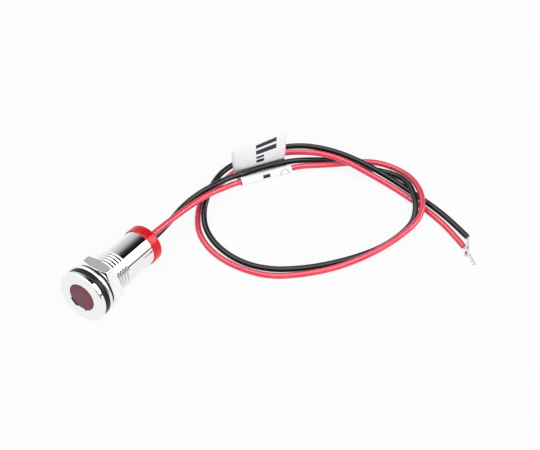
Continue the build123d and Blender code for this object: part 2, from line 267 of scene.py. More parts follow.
@dataclass(frozen=True)
class LampAxis:
    """The lamp's own axis, from the middle of its front face to the rear."""

    origin: np.ndarray
    along: np.ndarray
    side: np.ndarray
    up: np.ndarray

    @classmethod
    def from_record(cls, flange_thick: float) -> "LampAxis":
        """Reads the axis from the panel thread's mount.

        Args:
            flange_thick: Millimetres from the front face to the mount, which is behind the flange.

        Returns:
            The axis.
        """
        mount = next(m for m in frame["record"]["mounts"] if m["name"] == "panel_thread")
        along = np.array(mount["axis"], float)
        along /= np.linalg.norm(along)
        side = np.array([1.0, 0.0, 0.0])
        origin = np.array(mount["pos_m"]) - flange_thick * MM * along
        return cls(origin, along, side, np.cross(side, along))

    def place(self, s: Numbers, r: Numbers, turn: Numbers) -> np.ndarray:
        """Points on the lamp: origin + s along + r (cos turn side + sin turn up).

        Args:
            s: Millimetres along the axis.
            r: Millimetres from the axis.
            turn: Radians about the axis.

        Returns:
            Points in metres, in the common shape of the three and 3.
        """
        s, r, turn = np.broadcast_arrays(s, r, turn)
        out = (r * np.cos(turn))[..., None] * self.side + (r * np.sin(turn))[..., None] * self.up
        return self.origin + MM * (s[..., None] * self.along + out)

    def distance(self, graph: Graph) -> tuple[Wire, Wire]:
        """Where a shaded point is on the lamp.

        Args:
            graph: The graph to add nodes to.

        Returns:
            Millimetres along the axis, and millimetres from it.
        """
        place = graph.place()
        along, side, up = (
            (graph.dot(place, way) - float(self.origin @ way)) / MM
            for way in (self.along, self.side, self.up)
        )
        return along, (side * side + up * up).root()


# --- Finishes ---


@dataclass(frozen=True)
class Finish:
    """A finish with cloudy colour, uneven gloss and a fine texture.

    Colour and roughness follow the same soft clouds. The texture is a finer noise that only moves
    the normal.
    """

    name: str
    colour: Colour
    second: Colour
    roughness: tuple[float, float]
    metallic: float = 0.0
    cloud_scale: float = 300.0
    cloud_edges: tuple[float, float] = (0.3, 0.7)
    grain_scale: float = 4000.0
    grain_depth: float = 2e-6
    settings: tuple[tuple[str, float], ...] = ()

    def material(self) -> bpy.types.Material:
        """Builds the finish.

        Returns:
            The material.
        """
        material, graph = new_material(self.name)
        clouds = graph.noise(self.cloud_scale)
        graph.principled({
            "Base Color": graph.mix(clouds.rise(*self.cloud_edges), self.colour, self.second),
            "Roughness": clouds.spread(*self.roughness),
            "Metallic": self.metallic,
            "Normal": graph.grain(self.grain_scale, self.grain_depth),
            **dict(self.settings),
        })
        return material


@dataclass(frozen=True)
class TurnedPlate:
    """Bright plating over turned metal: fine rings about the axis, clouds in the gloss, painted shade in the
    thread's roots, and painted shade in the front recess and its notches, which are made dark and matte."""

    name: str
    axis: LampAxis
    colour: Colour = (0.90, 0.905, 0.91)
    roughness: tuple[float, float] = (0.008, 0.028)
    root_radius: float = 3.5
    crest_radius: float = 3.85
    thread_span: tuple[float, float] = (1.2, 9.9)
    ring_scale: float = 2500.0
    ring_depth: float = 1.2e-6
    cloud_scale: float = 500.0
    recess_shade_radius: float = 3.24
    recess_shade_depth: float = 0.03
    recess_shade_edge: float = 0.02
    recess_shade_roughness: float = 0.4
    root_shade_colour: Colour = (0.58, 0.59, 0.61)
    recess_shade_colour: Colour = (0.012, 0.008, 0.010)

    def material(self) -> bpy.types.Material:
        """Builds the finish.

        Returns:
            The material.
        """
        material, graph = new_material(self.name)
        along, radius = self.axis.distance(graph)
        rings = graph.add(
            "ShaderNodeTexNoise",
            {"noise_dimensions": "2D"},
            {
                "Vector": graph.add("ShaderNodeCombineXYZ", {}, {"X": along * MM, "Y": radius * MM}),
                "Scale": self.ring_scale,
                "Detail": 3.0,
            },
        )
        clouds = graph.noise(self.cloud_scale)
        # Painted shade: inside the recess and its notches, the bore gets a dark, matte, non-metallic colour.
        inwards = (self.recess_shade_radius - radius).rise(0.0, self.recess_shade_edge)
        recess_shade = inwards * (along - self.recess_shade_depth).rise(0.0, self.recess_shade_edge)
        # Painted shade: the thread's roots are darkened, more or less by the clouds.
        root = radius.rise(self.crest_radius, self.root_radius) * along.within(*self.thread_span, 0.1)
        plate = graph.mix(root * clouds.spread(0.7, 1.0), self.colour, self.root_shade_colour)
        graph.principled({
            "Base Color": graph.mix(recess_shade, plate, self.recess_shade_colour),
            "Metallic": 1 - recess_shade,
            "Roughness": clouds.spread(*self.roughness) + self.recess_shade_roughness * recess_shade,
            "Normal": graph.bump(rings, self.ring_depth),
        })
        return material


@dataclass(frozen=True)
class TintedLens:
    """Tinted lens over a dark chamber. The diode's dome shows through as a greyer patch in the
    middle, and the rim is darker: painted shade of the dark gap round the lens."""

    name: str
    axis: LampAxis
    tint: Colour = (0.175, 0.030, 0.056)
    middle: Colour = (0.150, 0.055, 0.066)
    edge: Colour = (0.06, 0.010, 0.020)
    dome_fades: tuple[float, float] = (2.0, 0.4)
    rim_shade_span: tuple[float, float] = (2.55, 2.85)
    roughness: tuple[float, float] = (0.16, 0.26)

    def material(self) -> bpy.types.Material:
        """Builds the finish.

        Returns:
            The material.
        """
        material, graph = new_material(self.name)
        _, radius = self.axis.distance(graph)
        clouds = graph.noise(700.0)
        dome = radius.rise(*self.dome_fades) * clouds.spread(0.5, 1.1)
        colour = graph.mix(dome, self.tint, self.middle)
        graph.principled({
            # Painted shade: darker towards the rim, beside the gap round the lens.
            "Base Color": graph.mix(radius.rise(*self.rim_shade_span), colour, self.edge),
            "Roughness": clouds.spread(*self.roughness),
            "Specular IOR Level": 0.3,
            "Normal": graph.grain(2500.0, 1e-6),
        })
        return material


@dataclass(frozen=True)
class PrintedFilm:
    """White polyester film with plain printed bars and one coloured ring, in the sheet's own UV map:
    millimetres along the lead, and millimetres along the film from its inner free end."""

    name: str
    ink_bars: tuple[tuple[float, float, float, float], ...]
    ring: tuple[float, float, float, float]
    film: Colour = (0.90, 0.90, 0.925)
    ink: Colour = (0.018, 0.018, 0.022)
    ring_ink: Colour = (0.42, 0.68, 0.68)
    ink_edge: float = 0.04
    roughness: tuple[float, float] = (0.42, 0.54)

    def material(self) -> bpy.types.Material:
        """Builds the finish.

        Returns:
            The material.
        """
        material, graph = new_material(self.name)
        sheet = graph.add("ShaderNodeUVMap", {"uv_map": "sheet"})
        along, down = graph.dot(sheet, (1, 0, 0)), graph.dot(sheet, (0, 1, 0))
        print_mask = reduce(Wire.either, [
            along.within(left, right, self.ink_edge) * down.within(top, bottom, self.ink_edge)
            for left, right, top, bottom in self.ink_bars
        ])
        x, y, outer, inner = self.ring
        reach = ((along - x) * (along - x) + (down - y) * (down - y)).root()
        clouds = graph.noise(250.0)
        paper = graph.mix(clouds, self.film, tuple(0.95 * c for c in self.film))
        inked = graph.mix(print_mask, paper, self.ink)
        graph.principled({
            "Base Color": graph.mix(reach.within(inner, outer, 0.05), inked, self.ring_ink),
            "Roughness": clouds.spread(*self.roughness) - print_mask * 0.1,
            "Normal": graph.grain(900.0, 6e-6),
        })
        return material


def steel_plate(name: str, roughness: tuple[float, float] = (0.035, 0.07)) -> Finish:
    """Bright plating with faint tumbling marks, for the nut and the washer.

    Args:
        name: The finish's name.
        roughness: Its lowest and highest roughness.

    Returns:
        The finish.
    """
    return Finish(
        name, (0.90, 0.89, 0.865), (0.95, 0.94, 0.92), roughness, 1.0,
        cloud_scale=700.0, grain_scale=5000.0, grain_depth=1.2e-6,
    )


# --- Meshes ---


class Edges(Enum):
    """How a mesh is shaded where its faces meet."""

    SMOOTH = "smooth"
    CRISP = "crisp"


def unit(vectors: np.ndarray) -> np.ndarray:
    """The vectors' directions, as vectors of length 1."""
    return vectors / np.linalg.norm(vectors, axis=-1, keepdims=True)


def lengths(points: np.ndarray) -> np.ndarray:
    """Distance of each point from the first, along the points."""
    return np.r_[0, np.cumsum(np.linalg.norm(np.diff(points, axis=0), axis=1))]


def quadratic(start: np.ndarray, corner: np.ndarray, end: np.ndarray, w: np.ndarray) -> np.ndarray:
    """Points (1-w)^2 start + 2 w (1-w) corner + w^2 end of a curve."""
    return (1 - w) ** 2 * start + 2 * w * (1 - w) * corner + w**2 * end


def soften(corners: Sequence[tuple[float, float, float]], steps: int = 5) -> np.ndarray:
    """Closed outline with eased corners.

    A corner P whose runs arrive along u and leave along v becomes the quadratic curve from P - e u
    to P + e v. One more point past each end keeps the flats flat under smooth shading.

    Args:
        corners: (distance, radius, ease e) of each corner, in order.
        steps: Points on each curve.

    Returns:
        Array of corners by steps + 2 points by (distance, radius).
    """
    table = np.array(corners, float)
    here, ease = table[:, None, :2], table[:, None, 2:]
    arrive = unit(here - np.roll(here, 1, axis=0))
    leave = unit(np.roll(here, -1, axis=0) - here)
    w = np.linspace(0, 1, steps)[None, :, None]
    curve = quadratic(here - ease * arrive, here, here + ease * leave, w)
    return np.concatenate([here - 1.25 * ease * arrive, curve, here + 1.25 * ease * leave], axis=1)


def new_object(name: str, data: bpy.types.ID) -> bpy.types.Object:
    """An object of this data, linked to the scene."""
    made = bpy.data.objects.new(name, data)
    bpy.context.scene.collection.objects.link(made)
    return made


def new_piece(
    name: str,
    vertices: np.ndarray,
    faces: list[list[int]],
    edges: Edges = Edges.SMOOTH,
) -> bpy.types.Object:
    """A mesh object whose faces point outwards.

    Args:
        name: The piece's name.
        vertices: Array of points in metres.
        faces: Vertex numbers of each face.
        edges: How it is shaded.

    Returns:
        The object, linked to the scene.
    """
    mesh = bpy.data.meshes.new(name)
    mesh.from_pydata(vertices.reshape(-1, 3), [], faces)
    solid = bmesh.new()
    solid.from_mesh(mesh)
    inside_out = solid.calc_volume(signed=True) < 0
    solid.free()
    if inside_out:
        mesh.flip_normals()
    mesh.shade_smooth()
    if edges is Edges.CRISP:
        mesh.set_sharp_from_angle(angle=math.radians(CRISP_ANGLE))
    return new_object(name, mesh)


def grid_faces(rows: int, columns: int, wrap_rows: bool, wrap_columns: bool) -> np.ndarray:
    """Quads of a grid whose vertex (i, j) is number i * columns + j.

    Args:
        rows: Count of rows.
        columns: Count of columns.
        wrap_rows: Whether the last row joins the first.
        wrap_columns: Whether the last column joins the first.

    Returns:
        Array of quads by 4.
    """
    i, j = np.meshgrid(
        np.arange(rows if wrap_rows else rows - 1),
        np.arange(columns if wrap_columns else columns - 1),
        indexing="ij",
    )
    right, below = (j + 1) % columns, (i + 1) % rows
    quads = [i * columns + j, i * columns + right, below * columns + right, below * columns + j]
    return np.stack(quads, axis=-1).reshape(-1, 4)


def closed_loop(name: str, points: np.ndarray, edges: Edges = Edges.SMOOTH) -> bpy.types.Object:
    """Ring-like piece: an outline carried round the axis, closed both ways."""
    rows, columns = points.shape[:2]
    return new_piece(name, points, grid_faces(rows, columns, True, True).tolist(), edges)


def capped_loop(name: str, points: np.ndarray, edges: Edges = Edges.SMOOTH) -> bpy.types.Object:
    """Piece whose rows are closed rings, with a face over its first and its last ring.

    Args:
        name: The piece's name.
        points: Rows by columns by 3.
        edges: How it is shaded.

    Returns:
        The object.
    """
    rows, columns = points.shape[:2]
    quads = grid_faces(rows, columns, False, True).tolist()
    first = list(range(columns))[::-1]
    last = list(range((rows - 1) * columns, rows * columns))
    return new_piece(name, points, [*quads, first, last], edges)


def around(columns: int) -> np.ndarray:
    """Turns of evenly spaced columns."""
    return np.linspace(0, 2 * np.pi, columns, endpoint=False)


def finish_piece(
    piece: bpy.types.Object,
    material: bpy.types.Material,
    slot: str,
    node: str,
) -> None:
    """Dresses a piece and ties it to the frame.

    Args:
        piece: The new piece.
        material: Its material.
        slot: The name of the record's slot for its finish, which is only logged.
        node: The CAD node that it stands for.
    """
    piece.data.materials.clear()
    piece.data.materials.append(material)
    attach(piece, BODY)
    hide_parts(node)
    count = len(piece.data.vertices) if piece.type == "MESH" else len(piece.data.splines[0].points)
    log.info("%s: %d points, %s", piece.name, count, slot)


# --- The lamp's body ---


@dataclass(frozen=True)
class BezelBody:
    """Flange, thread and barrel in one turned piece."""

    axis: LampAxis
    flange_radius: float = 5.25
    flange_thick: float = 0.85
    crest_radius: float = 3.95
    pitch: float = 0.75
    thread_depth: float = 0.45
    thread_start: float = 0.37
    thread_end: float = 10.05
    thread_fade: float = 0.4
    rows_per_turn: int = 26
    barrel_radius: float = 3.75
    barrel_end: float = 17.25
    lens_bore: float = 2.9
    rear_bore: float = 3.2
    notches: tuple[tuple[float, float], ...] = ((-131.0, 2.2), (-62.0, 1.5))
    notch_radius: float = 3.25
    notch_depth: float = 0.4
    columns: int = 208

    def outline(self) -> np.ndarray:
        """Closed outline of the whole piece, with straight rows where the thread is.

        Returns:
            Rows of (distance, radius).
        """
        front = soften([
            (self.notch_depth, self.lens_bore, 0.02),
            (0.0, self.lens_bore, 0.06),
            (0.0, self.notch_radius - 0.01, 0.003),
            (0.0, self.notch_radius + 0.01, 0.003),
            (0.0, self.flange_radius, 0.24),
            (self.flange_thick, self.flange_radius, 0.07),
            (self.flange_thick, self.crest_radius, 0.05),
            (self.thread_end, self.crest_radius, 0.12),
            (self.thread_end, self.barrel_radius, 0.04),
            (self.barrel_end, self.barrel_radius, 0.13),
            (self.barrel_end, self.rear_bore, 0.05),
            (self.thread_end, self.rear_bore, 0.05),
            (self.thread_end, self.lens_bore, 0.05),
        ])
        before, after = front[:7].reshape(-1, 2), front[7:].reshape(-1, 2)
        turns = (self.thread_end - self.flange_thick) / self.pitch
        s = np.linspace(before[-1, 0], after[0, 0], round(turns * self.rows_per_turn))[1:-1]
        thread = np.stack([s, np.full_like(s, self.crest_radius)], axis=-1)
        return np.concatenate([before, thread, after])

    def groove(self, s: np.ndarray, turn: np.ndarray) -> np.ndarray:
        """Depth of the thread's groove below its crest.

        The place within one pitch is s / pitch - turn / 2 pi, as it is on a right-handed thread. With
        d its distance from the groove's middle, 0 to 1, the depth is full below 0.2, none above
        0.9, and a smooth step between, times a fade at both ends.

        Args:
            s: Millimetres along the axis.
            turn: Radians about it.

        Returns:
            Millimetres.
        """
        turns = (s - self.flange_thick) / self.pitch - turn / (2 * np.pi) + self.thread_start
        d = np.clip((np.abs(2 * np.mod(turns, 1.0) - 1) - 0.2) / 0.7, 0, 1)
        start = np.clip((s - self.flange_thick) / self.thread_fade, 0, 1)
        end = np.clip((self.thread_end - 0.1 - s) / self.thread_fade, 0, 1)
        return self.thread_depth * (1 - d * d * (3 - 2 * d)) * start * end

    def build(self) -> bpy.types.Object:
        """Carries the outline round the axis, cuts the thread's helix and sinks the notches.

        Returns:
            The piece.
        """
        rows = self.outline()
        turn = around(self.columns)[None, :]
        s = np.repeat(rows[:, :1], self.columns, axis=1)
        r = np.repeat(rows[:, 1:], self.columns, axis=1)
        threaded = np.abs(r - self.crest_radius) < 1e-6
        r = r - threaded * self.groove(s, turn)
        for angle, width in self.notches:
            off = np.mod(turn - math.radians(angle) + np.pi, 2 * np.pi) - np.pi
            inside = (np.abs(off) * r < width / 2) & (r < self.notch_radius)
            s = np.where(inside & (s < self.notch_depth), self.notch_depth, s)
        return closed_loop("bezel", self.axis.place(s, r, turn))

    def dress(self, piece: bpy.types.Object) -> None:
        """Plates the piece in place of the CAD body."""
        # The front recess's painted shade reaches out to the notches' radius.
        finish = TurnedPlate("bright plate", self.axis, recess_shade_radius=self.notch_radius)
        finish_piece(piece, finish.material(), "plated_brass", "bezel_body")


@dataclass(frozen=True)
class Lens:
    """Flush disc with a skirt, very slightly crowned."""

    axis: LampAxis
    radius: float = 2.85
    crown: float = 0.03
    thick: float = 1.4
    skirt_end: float = 5.0
    skirt_bore: float = 1.55
    rounding: float = 0.1
    middle: float = 0.05
    columns: int = 128

    def build(self) -> bpy.types.Object:
        """Carries an outline round the axis. The front's distance is crown (r / radius)^2.

        Returns:
            The piece.
        """
        flat_radius = self.radius - self.rounding
        front_r = np.linspace(self.middle, flat_radius, 14)
        front = np.stack([self.crown * (front_r / self.radius) ** 2, front_r], axis=-1)
        w = np.linspace(0, np.pi / 2, 6)
        rim_s = self.crown + self.rounding * (1 - np.cos(w))
        rim = np.stack([rim_s, flat_radius + self.rounding * np.sin(w)], axis=-1)
        back = np.array([
            (self.skirt_end, self.radius),
            (self.skirt_end, self.skirt_bore),
            (self.thick + 0.05, self.skirt_bore),
            (self.thick, self.skirt_bore - 0.05),
            (self.thick, self.middle),
        ])
        rows = np.concatenate([front, rim[1:], back])
        points = self.axis.place(rows[:, :1], rows[:, 1:], around(self.columns)[None, :])
        return capped_loop("lens_disc", points, Edges.CRISP)

    def dress(self, piece: bpy.types.Object) -> None:
        """Tints the lens."""
        finish_piece(piece, TintedLens("tinted lens", self.axis).material(), "tinted_lens", "lens")


@dataclass(frozen=True)
class ClampRing:
    """Round ring on the thread: a rubber seal or a washer."""

    axis: LampAxis
    name: str
    node: str
    slot: str
    finish: Finish
    start: float
    end: float
    inner: float
    outer: float
    front_ease: float
    rear_ease: float
    columns: int = 160

    def build(self) -> bpy.types.Object:
        """Carries an outline with eased rims round the axis.

        Returns:
            The piece.
        """
        rows = soften([
            (self.start, self.inner, 0.05),
            (self.start, self.outer, self.front_ease),
            (self.end, self.outer, self.rear_ease),
            (self.end, self.inner, 0.05),
        ], 8).reshape(-1, 2)
        points = self.axis.place(rows[:, :1], rows[:, 1:], around(self.columns)[None, :])
        return closed_loop(self.name, points)

    def dress(self, piece: bpy.types.Object) -> None:
        """Gives the ring its finish in place of the CAD ring."""
        finish_piece(piece, self.finish.material(), self.slot, self.node)


@dataclass(frozen=True)
class HexNut:
    """Thin hexagon nut with turned corners and a countersunk bore."""

    axis: LampAxis
    start: float = 3.35
    thick: float = 2.65
    across_flats: float = 10.0
    corner_radius: float = 5.71
    land: float = 4.75
    chamfer_angle: float = 30.0
    bore: float = 4.0
    countersink: float = 0.3
    columns_per_side: int = 30

    def build(self) -> bpy.types.Object:
        """Stacks outlines along the axis.

        With q the turn from the nearest flat's middle, the outline's radius is half the width across
        flats over cos q, cut off at the corner radius. The chamfer starts where the cone from the
        land meets it, at (radius - land) tan(chamfer angle) from each face.

        Returns:
            The piece.
        """
        spread = np.sin(np.linspace(-np.pi / 2, np.pi / 2, self.columns_per_side, endpoint=False))
        q = np.tile(spread * np.pi / 6, 6)
        turn = q + np.repeat(np.arange(6) * np.pi / 3 + np.pi / 6, self.columns_per_side)
        hexagon = np.minimum(self.across_flats / 2 / np.cos(q), self.corner_radius)
        slope = math.tan(math.radians(self.chamfer_angle))
        rows = [
            (0.5 * self.thick, self.bore),
            (self.countersink, self.bore),
            (0.0, self.bore + self.countersink),
            (0.0, self.land - 0.04),
            (0.015, self.land + 0.03),
            ((hexagon - 0.03 - self.land) * slope, hexagon - 0.03),
            ((hexagon - self.land) * slope + 0.02, hexagon),
        ]
        mirrored = [(self.thick - s, r) for s, r in rows[:0:-1]]
        s, r = (np.stack([row[k] + 0 * q for row in [*rows, *mirrored]]) for k in (0, 1))
        points = self.axis.place(self.start + s, r, turn[None, :])
        return closed_loop("nut", points, Edges.CRISP)

    def dress(self, piece: bpy.types.Object) -> None:
        """Plates the nut."""
        finish_piece(piece, steel_plate("nut plate").material(), "plated_steel", "hex_nut")


@dataclass(frozen=True)
class EndCap:
    """Rounded red cap over the barrel's end, dimpled where the leads come out."""

    axis: LampAxis
    start: float = 17.25
    end: float = 19.5
    radius: float = 3.95
    inner: float = 3.15
    spigot: float = 1.0
    rounding: float = 0.42
    lead_offset: float = 0.7
    dimple: float = 0.22
    dimple_reach: float = 0.85
    columns: int = 160

    def build(self) -> bpy.types.Object:
        """Carries the outline round the axis and dimples the rear face.

        The face is sunk by dimple exp(-(d / dimple reach)^2) round each lead, where d is the distance from
        the lead's middle.

        Returns:
            The piece.
        """
        side = soften([
            (self.start - self.spigot, self.inner, 0.05),
            (self.start, self.inner, 0.03),
            (self.start, self.radius, 0.16),
            (self.end, self.radius, self.rounding),
            (self.end, 0.5, 0.02),
        ], 7)[:4].reshape(-1, 2)
        face_r = np.linspace(side[-1, 1], 0.03, 26)[1:]
        rows = np.concatenate([side, np.stack([np.full_like(face_r, self.end), face_r], axis=-1)])
        turn = around(self.columns)[None, :]
        s, r = np.repeat(rows[:, :1], self.columns, axis=1), rows[:, 1:]
        x, y = r * np.cos(turn), r * np.sin(turn)
        sink = sum(
            np.exp(-(x**2 + (y - k * self.lead_offset) ** 2) / self.dimple_reach**2) for k in (-1, 1)
        )
        rear = np.clip((s - self.end + self.rounding) / self.rounding, 0, 1)
        return capped_loop("cap", self.axis.place(s - self.dimple * sink * rear, r, turn))

    def dress(self, piece: bpy.types.Object) -> None:
        """Finishes the cap as glossy red plastic that lets a little light through."""
        plastic = Finish(
            "red cap plastic", (0.64, 0.006, 0.016), (0.74, 0.011, 0.024), (0.14, 0.24),
            grain_scale=1500.0, grain_depth=2e-6,
            settings=(("Subsurface Weight", 0.12), ("Subsurface Scale", 0.001), ("Specular IOR Level", 0.35)),
        )
        finish_piece(piece, plastic.material(), "red_cap", "end_cap")


def clamp_rings(axis: LampAxis) -> tuple[ClampRing, ...]:
    """The seal behind the flange, the washer, and a thin black rubber ring in front of the nut, which is
    painted shade: it fills the gap between washer and nut that lies in shadow.

    Args:
        axis: The lamp's axis.

    Returns:
        The three rings, front to rear.
    """
    rubber = Finish(
        "satin rubber", (0.003, 0.003, 0.004), (0.007, 0.006, 0.009), (0.30, 0.48),
        grain_scale=6000.0, grain_depth=4e-6, settings=(("Specular IOR Level", 0.22),),
    )
    return (
        ClampRing(axis, "seal", "panel_seal", "seal_rubber", rubber, 0.85, 2.1, 4.0, 5.2, 0.42, 0.12),
        ClampRing(
            axis, "washer", "lock_washer", "plated_steel", steel_plate("washer plate", (0.26, 0.36)),
            2.1, 2.7, 4.1, 5.4, 0.3, 0.1,
        ),
        # Painted shade: a black ring put in the shaded gap between the washer and the nut.
        ClampRing(axis, "nut_ring", "nut_seal", "seal_rubber", rubber, 2.7, 3.35, 4.0, 5.0, 0.12, 0.12),
    )


# --- Leads ---


# Each lead's route behind the cap, in millimetres: listed points, the same as the CAD's.
RED_ROUTE: tuple[Point, ...] = (
    (0.3, 17.8, 3.9), (0.8, 23.4, 3.5), (1.8, 28.6, 3.2), (2.5, 32.2, 2.1),
    (2.8, 35.45, 0.95), (4.63, 38.08, 0.95), (6.88, 41.39, 0.95), (9.09, 44.73, 0.95),
    (10.71, 47.25, 0.95), (14.2, 50.4, 0.65), (17.6, 52.2, 1.4), (20.9, 54.4, 2.2),
    (24.0, 56.9, 1.7), (27.5, 58.3, 0.8), (31.7, 57.1, 1.7), (35.7, 54.4, 2.3),
    (38.5, 50.9, 2.4), (39.7, 47.0, 2.0), (39.1, 42.4, 1.7), (37.8, 37.3, 1.6),
    (35.7, 32.2, 1.4), (32.6, 27.4, 0.9), (28.6, 23.0, 0.6), (23.4, 18.5, 0.6),
    (17.0, 16.8, 0.6), (10.6, 17.1, 0.6), (5.1, 19.7, 0.6), (1.5, 24.1, 0.6),
    (-0.2, 27.9, 0.6), (-0.4, 31.6, 0.6), (0.3, 35.2, 0.6), (0.7, 39.9, 0.6),
    (2.2, 45.0, 0.6), (5.6, 48.7, 0.9), (9.8, 50.0, 2.4), (14.0, 51.1, 3.3),
    (18.9, 52.0, 3.3), (23.7, 52.5, 2.3), (28.9, 53.3, 0.8), (34.4, 52.6, 0.6),
    (39.8, 51.4, 0.6), (45.1, 49.7, 0.6), (50.1, 47.1, 0.6),
)
BLACK_ROUTE: tuple[Point, ...] = (
    (-0.5, 17.6, 2.5), (-1.0, 22.6, 2.6), (-0.3, 27.0, 3.0), (1.0, 30.4, 3.4),
    (1.7, 34.4, 2.6), (2.4, 38.6, 0.95), (4.3, 42.2, 0.9), (6.5, 45.2, 0.9),
    (9.0, 48.2, 0.9), (12.3, 51.1, 0.6), (15.9, 53.4, 0.6), (20.0, 54.7, 0.6),
    (24.3, 55.7, 0.6), (28.5, 56.4, 1.15), (32.6, 54.9, 2.15), (35.4, 52.5, 2.2),
    (37.4, 49.9, 1.95), (38.6, 47.0, 0.9), (38.3, 42.8, 0.6), (37.0, 37.6, 0.6),
    (34.6, 33.0, 0.6), (31.3, 28.3, 0.6), (27.4, 24.0, 0.6), (22.3, 20.0, 0.6),
    (16.4, 18.3, 0.6), (10.1, 19.1, 0.6), (5.3, 21.6, 0.8), (2.5, 24.9, 1.4),
    (1.0, 28.1, 1.9), (-0.1, 31.5, 2.15), (-1.2, 36.0, 1.4), (-0.9, 40.8, 0.6),
    (1.1, 46.0, 0.6), (4.1, 49.7, 0.9), (8.5, 51.5, 2.4), (12.9, 52.4, 3.3),
    (17.6, 53.3, 3.4), (22.8, 53.6, 3.2), (27.8, 54.7, 1.4), (33.2, 54.4, 0.6),
    (38.8, 53.4, 0.6), (44.2, 51.9, 0.6), (49.4, 49.8, 0.6),
)


@dataclass(frozen=True)
class Lead:
    """One insulated lead: a straight stretch on the lamp's axis, then its route, then bare strands."""

    axis: LampAxis
    colour_name: str
    exit_up: float
    route: tuple[Point, ...]
    strands: tuple[Point, ...]
    length: float
    fan: float
    straight: tuple[float, float] = (16.25, 21.7)
    diameter: float = 1.2
    strand_diameter: float = 0.17
    strand_count: int = 7
    twist: float = 1.1
    flatness: float = 0.55
    unevenness: float = 0.4

    @property
    def name(self) -> str:
        """The piece's name."""
        return f"lead_{self.colour_name}"

    def on_axis(self, s: Numbers) -> np.ndarray:
        """Points of the straight stretch in metres, by millimetres along the lamp's axis."""
        return self.axis.place(s, self.exit_up, np.pi / 2)

    def corners(self) -> np.ndarray:
        """Control points of the lead's spline, in millimetres.

        Returns:
            Array of points by 3: both ends of the straight stretch to four decimals, then the route.
        """
        return np.concatenate([np.round(self.on_axis(self.straight) / MM, 4), self.route])

    def spline(self, name: str, corners: np.ndarray, bevel: float) -> bpy.types.Object:
        """One open NURBS spline of order 3 through the route, clamped at its ends.

        Args:
            name: The object's name.
            corners: Control points in millimetres.
            bevel: Radius of the round section in metres, 0 for a bare line.

        Returns:
            The curve object, linked to the scene.
        """
        curve = bpy.data.curves.new(name, "CURVE")
        curve.dimensions = "3D"
        line = curve.splines.new("NURBS")
        line.points.add(len(corners) - 1)
        table = np.ones((len(corners), 4))
        table[:, :3] = corners * MM
        line.points.foreach_set("co", table.ravel())
        line.order_u = 3
        line.use_endpoint_u = True
        line.resolution_u = 12
        curve.resolution_u = 12
        curve.bevel_depth = bevel
        curve.bevel_resolution = 7
        curve.use_fill_caps = True
        return new_object(name, curve)

    def followed(self, corners: np.ndarray) -> np.ndarray:
        """Points read from a bare spline over the corners.

        Args:
            corners: Control points in millimetres.

        Returns:
            Points in metres.
        """
        guide = self.spline("guide", corners, 0.0)
        bpy.context.view_layer.update()
        mesh = bpy.data.meshes.new_from_object(guide)
        points = np.empty(len(mesh.vertices) * 3)
        mesh.vertices.foreach_get("co", points)
        bpy.data.meshes.remove(mesh)
        bpy.data.objects.remove(guide)
        return points.reshape(-1, 3)

    def build(self) -> bpy.types.Object:
        """Makes the insulated lead."""
        return self.spline(self.name, self.corners(), self.diameter * MM / 2)

    def build_strands(self) -> bpy.types.Object:
        """Makes the bare strands, fanned out towards their tips.

        The last strand is the bundle's line itself. Strand k starts at k 60 degrees round it and
        turns by twist as it goes, and its distance from the line grows from one strand's diameter to
        the fan, more or less, by the square of the way along. It lies on the floor where it would
        sink into it. Its tube is a ring of radius strand / 2 carried along that path.

        Returns:
            The bundle as one mesh.
        """
        line = self.followed(np.array([self.route[-1], *self.strands]))
        way = np.linspace(0, 1, len(line))[:, None]
        tangent = unit(np.gradient(line, axis=0))
        across = unit(np.cross(tangent, (0, 0, 1)))
        over = np.cross(across, tangent)
        ring = np.linspace(0, 2 * np.pi, 8, endpoint=False)
        vertices, faces = [], []
        for strand in range(self.strand_count):
            uneven = 1 - self.unevenness * (1 - math.sin(strand * 2.4))
            spread = self.strand_diameter + self.fan * uneven * way**2
            angle = strand * np.pi / 3 + self.twist * way
            reach = spread * (0 if strand == self.strand_count - 1 else 1) * MM
            path = line + reach * (np.cos(angle) * across + self.flatness * np.sin(angle) * over)
            radius = self.strand_diameter / 2 * MM
            path[:, 2] = np.maximum(path[:, 2], radius)
            tube = path[:, None] + radius * (
                np.cos(ring)[None, :, None] * across[:, None] + np.sin(ring)[None, :, None] * over[:, None]
            )
            rows, columns = tube.shape[:2]
            first = strand * rows * columns
            faces += (grid_faces(rows, columns, False, True) + first).tolist()
            faces += [list(range(first, first + columns))[::-1]]
            faces += [list(range(first + (rows - 1) * columns, first + rows * columns))]
            vertices.append(tube.reshape(-1, 3))
        return new_piece(f"{self.name}_bundle", np.concatenate(vertices), faces)

    def dress(self, piece: bpy.types.Object, bundle: bpy.types.Object) -> None:
        """Finishes the insulation as smooth PVC and the strands as tinned copper.

        Args:
            piece: The insulated lead.
            bundle: Its strands.
        """
        shades = {
            "red": ((0.70, 0.036, 0.084), (0.76, 0.048, 0.102)),
            "black": ((0.003, 0.003, 0.004), (0.006, 0.006, 0.008)),
        }
        shine = {"red": 0.78, "black": 0.36}
        vinyl = Finish(
            f"{self.colour_name} vinyl", *shades[self.colour_name], (0.17, 0.27),
            cloud_scale=180.0, grain_scale=2500.0, grain_depth=2e-6,
            settings=(("Specular IOR Level", shine[self.colour_name]),),
        )
        tin = Finish(
            f"{self.colour_name} lead tin", (0.40, 0.39, 0.38), (0.74, 0.73, 0.71), (0.25, 0.42), 1.0,
            cloud_scale=2500.0, grain_scale=9000.0, grain_depth=2e-6,
        )
        finish_piece(piece, vinyl.material(), f"{self.colour_name}_insulation", f"{self.colour_name}_lead")
        finish_piece(bundle, tin.material(), "tinned_wire", f"{self.colour_name}_strands")


